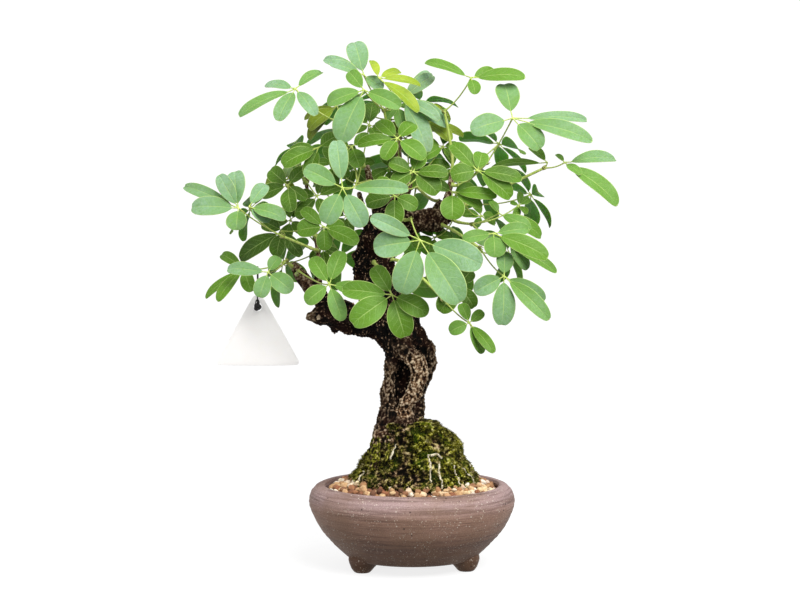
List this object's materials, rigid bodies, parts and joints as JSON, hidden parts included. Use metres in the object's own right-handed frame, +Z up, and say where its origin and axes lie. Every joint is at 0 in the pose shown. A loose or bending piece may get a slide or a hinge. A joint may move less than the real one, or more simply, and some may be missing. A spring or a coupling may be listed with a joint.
{
  "type": "potted chocolate vine bonsai",
  "caption": "Old twisted vine trunk with palmate leaves on a mossy root mound, in a round three-footed stoneware pot with gravel and a blank tag.",
  "frame": {"origin": "on the ground under the middle of the whole plant's outline, seen from above", "axes": "+Z up, the tallest extent; the side that the picture shows faces -Y; +X is to its right"},
  "size_m": [0.3253, 0.2179, 0.3951],
  "materials": {
    "pot": "unglazed brown stoneware with throwing rings and fine specks",
    "drain_mesh": "black plastic mesh",
    "soil": "damp granular bonsai soil",
    "gravel": "small rounded cream, tan and brown grains",
    "moss": "cushion moss over roots and soil",
    "bark": "near-black rough bark with tan corky flecks",
    "leaf": "matte green leaves with pale margins on yellow-green stalks",
    "tag": "blank white plastic",
    "tag_tie": "black cord"
  },
  "bodies": {
    "root": {"drain_mesh": "drain_mesh", "gravel": "gravel", "moss_mound": "moss", "pot": "pot", "soil": "soil", "spray_centre": "leaf", "spray_centre_left": "leaf", "spray_crown": "leaf", "spray_crown_left": "leaf", "spray_crown_right": "leaf", "spray_far_left": "leaf", "spray_far_left_high": "leaf", "spray_far_left_low": "leaf", "spray_far_low": "leaf", "spray_far_middle": "leaf", "spray_far_right": "leaf", "spray_far_right_high": "leaf", "spray_far_right_low": "leaf", "spray_far_top": "leaf", "spray_front": "leaf", "spray_front_left": "leaf", "spray_front_low": "leaf", "spray_left_high": "leaf", "spray_left_low": "leaf", "spray_left_mid": "leaf", "spray_left_tip": "leaf", "spray_low_right": "leaf", "spray_right_drop": "leaf", "spray_right_high": "leaf", "spray_right_low": "leaf", "spray_right_mid": "leaf", "spray_right_tip": "leaf", "tag": "tag", "tag_tie": "tag_tie", "trunk": "bark"}
  },
  "joints": []
}
